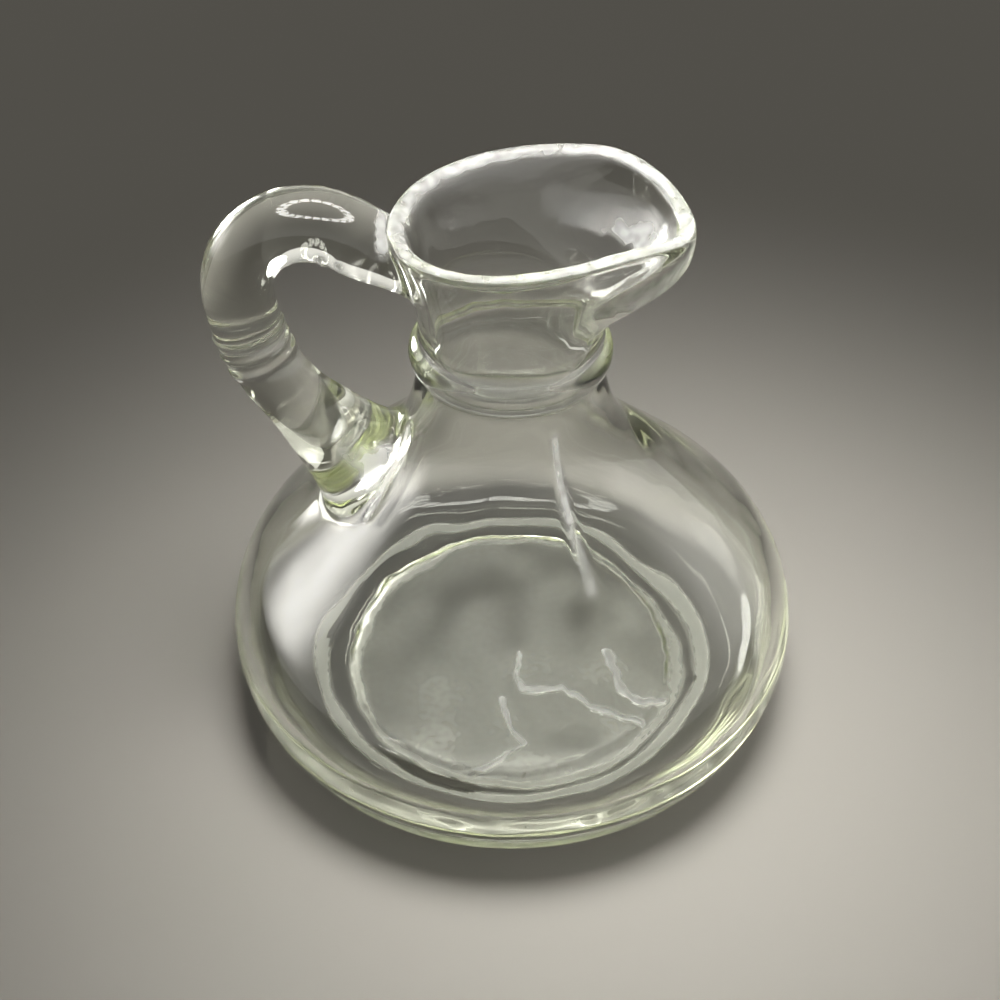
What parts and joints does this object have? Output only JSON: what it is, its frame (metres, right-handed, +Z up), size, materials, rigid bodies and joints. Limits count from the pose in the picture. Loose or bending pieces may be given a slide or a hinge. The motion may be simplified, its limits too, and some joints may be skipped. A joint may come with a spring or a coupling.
{
  "type": "glass cruet",
  "caption": "Small empty clear-glass cruet with a squat round bowl, beaded neck, pulled pouring lip and a solid ringed glass loop handle.",
  "frame": {"origin": "on the table, under the middle of the round bowl", "axes": "+Z up, +X towards the pouring lip, -X towards the handle, +Y across the handle's plane"},
  "size_m": [0.1004, 0.1004, 0.1009],
  "materials": {
    "clear_glass": "polished"
  },
  "bodies": {
    "root": {"cruet": "clear_glass"}
  },
  "joints": []
}
